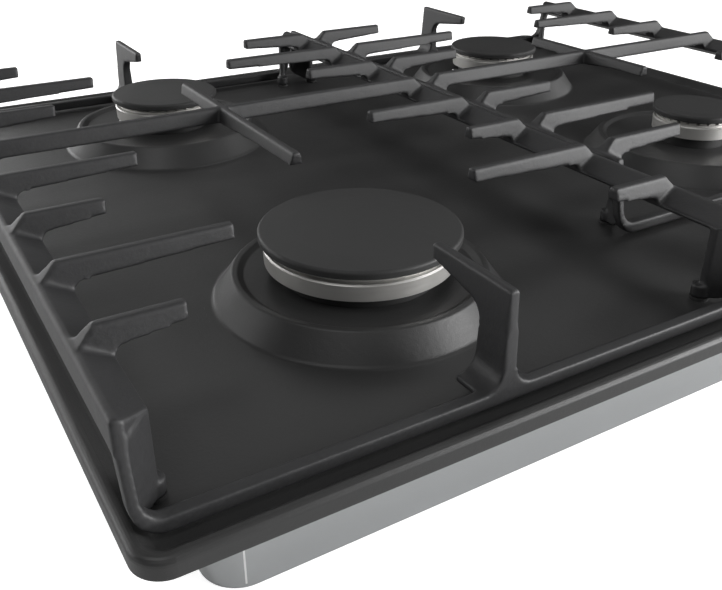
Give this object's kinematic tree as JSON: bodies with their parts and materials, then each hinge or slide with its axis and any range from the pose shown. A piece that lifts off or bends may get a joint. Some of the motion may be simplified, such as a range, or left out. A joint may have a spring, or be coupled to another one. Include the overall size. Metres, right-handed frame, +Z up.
{
  "type": "gas cooktop",
  "caption": "Built-in gas cooktop with a black enamelled pan, lift-off cast grates, capped round burners and turn knobs over a shallow base tray.",
  "frame": {"origin": "middle of the pan in plan, on the underside of the base tray", "axes": "+X to the right along the front edge, +Y to the rear, +Z up"},
  "size_m": [0.595, 0.52, 0.0945],
  "materials": {
    "enamel": "satin black enamel",
    "tray_metal": "satin metal sheet",
    "iron": "matte black enamelled casting",
    "cap_enamel": "matte black enamelled cap",
    "alloy": "satin die-cast aluminium",
    "brass": "turned brass",
    "steel": "zinc-plated steel",
    "rubber": "black rubber",
    "ceramic": "white ceramic",
    "plastic": "black moulded plastic",
    "light_plastic": "off-white moulded plastic"
  },
  "bodies": {
    "hob": {"hob_pan": "enamel", "pan_rim": "enamel", "pan_rings": "enamel", "base_tray": "tray_metal", "sealing_strip": "rubber", "burner_cup_fl": "alloy", "burner_cup_rl": "alloy", "burner_cup_fr": "alloy", "burner_cup_rr": "alloy", "injectors": "brass", "spark_electrodes": "ceramic", "thermocouples": "steel", "gas_tap_1": "brass", "gas_tap_2": "brass", "gas_tap_3": "brass", "gas_tap_4": "brass", "gas_rail": "steel", "inlet_elbow": "brass", "gas_pipe_fl": "alloy", "gas_pipe_rl": "alloy", "gas_pipe_fr": "alloy", "gas_pipe_rr": "alloy", "spark_generator": "light_plastic", "ignition_switches": "plastic", "terminal_block": "light_plastic", "cable_gland": "rubber", "knob_seals": "rubber", "tap_bracket": "steel", "fixing_clamps": "steel", "clamp_screws": "steel", "cup_screws": "steel", "tray_nuts": "steel", "tap_screws": "steel", "generator_screws": "steel"},
    "grate_left": {"grate_left": "iron", "grate_fingers_left": "iron", "grate_feet_left": "rubber"},
    "grate_right": {"grate_right": "iron", "grate_fingers_right": "iron", "grate_feet_right": "rubber"},
    "head_fl": {"burner_head_fl": "alloy"},
    "cap_fl": {"burner_cap_fl": "cap_enamel"},
    "head_rl": {"burner_head_rl": "alloy"},
    "cap_rl": {"burner_cap_rl": "cap_enamel"},
    "head_fr": {"burner_head_fr": "alloy"},
    "cap_fr": {"burner_cap_fr": "cap_enamel"},
    "head_rr": {"burner_head_rr": "alloy"},
    "cap_rr": {"burner_cap_rr": "cap_enamel"},
    "push_1": {"push_washer_1": "steel"},
    "turn_1": {"knob_1": "plastic", "valve_spindle_1": "steel"},
    "push_2": {"push_washer_2": "steel"},
    "turn_2": {"knob_2": "plastic", "valve_spindle_2": "steel"},
    "push_3": {"push_washer_3": "steel"},
    "turn_3": {"knob_3": "plastic", "valve_spindle_3": "steel"},
    "push_4": {"push_washer_4": "steel"},
    "turn_4": {"knob_4": "plastic", "valve_spindle_4": "steel"}
  },
  "joints": [
    {"name": "grate_left_lift", "type": "slide", "parent": "hob", "child": "grate_left", "axis": [0, 0, 1], "range_m": [0, 0.06]},
    {"name": "grate_right_lift", "type": "slide", "parent": "hob", "child": "grate_right", "axis": [0, 0, 1], "range_m": [0, 0.06]},
    {"name": "head_fl_lift", "type": "slide", "parent": "hob", "child": "head_fl", "axis": [0, 0, 1], "range_m": [0, 0.03]},
    {"name": "cap_fl_lift", "type": "slide", "parent": "head_fl", "child": "cap_fl", "axis": [0, 0, 1], "range_m": [0, 0.02]},
    {"name": "head_rl_lift", "type": "slide", "parent": "hob", "child": "head_rl", "axis": [0, 0, 1], "range_m": [0, 0.03]},
    {"name": "cap_rl_lift", "type": "slide", "parent": "head_rl", "child": "cap_rl", "axis": [0, 0, 1], "range_m": [0, 0.02]},
    {"name": "head_fr_lift", "type": "slide", "parent": "hob", "child": "head_fr", "axis": [0, 0, 1], "range_m": [0, 0.03]},
    {"name": "cap_fr_lift", "type": "slide", "parent": "head_fr", "child": "cap_fr", "axis": [0, 0, 1], "range_m": [0, 0.02]},
    {"name": "head_rr_lift", "type": "slide", "parent": "hob", "child": "head_rr", "axis": [0, 0, 1], "range_m": [0, 0.03]},
    {"name": "cap_rr_lift", "type": "slide", "parent": "head_rr", "child": "cap_rr", "axis": [0, 0, 1], "range_m": [0, 0.02]},
    {"name": "knob_1_push", "type": "slide", "parent": "hob", "child": "push_1", "axis": [0, 0, -1], "range_m": [0, 0.0045], "stiffness_N_per_m": 700, "springref_m": -0.003},
    {"name": "knob_1_turn", "type": "hinge", "parent": "push_1", "child": "turn_1", "pos_m": [0.04, -0.212, 0.0513], "axis": [0, 0, 1], "range_deg": [0, 210]},
    {"name": "knob_2_push", "type": "slide", "parent": "hob", "child": "push_2", "axis": [0, 0, -1], "range_m": [0, 0.0045], "stiffness_N_per_m": 700, "springref_m": -0.003},
    {"name": "knob_2_turn", "type": "hinge", "parent": "push_2", "child": "turn_2", "pos_m": [0.106, -0.212, 0.0513], "axis": [0, 0, 1], "range_deg": [0, 210]},
    {"name": "knob_3_push", "type": "slide", "parent": "hob", "child": "push_3", "axis": [0, 0, -1], "range_m": [0, 0.0045], "stiffness_N_per_m": 700, "springref_m": -0.003},
    {"name": "knob_3_turn", "type": "hinge", "parent": "push_3", "child": "turn_3", "pos_m": [0.172, -0.212, 0.0513], "axis": [0, 0, 1], "range_deg": [0, 210]},
    {"name": "knob_4_push", "type": "slide", "parent": "hob", "child": "push_4", "axis": [0, 0, -1], "range_m": [0, 0.0045], "stiffness_N_per_m": 700, "springref_m": -0.003},
    {"name": "knob_4_turn", "type": "hinge", "parent": "push_4", "child": "turn_4", "pos_m": [0.238, -0.212, 0.0513], "axis": [0, 0, 1], "range_deg": [0, 210]}
  ]
}
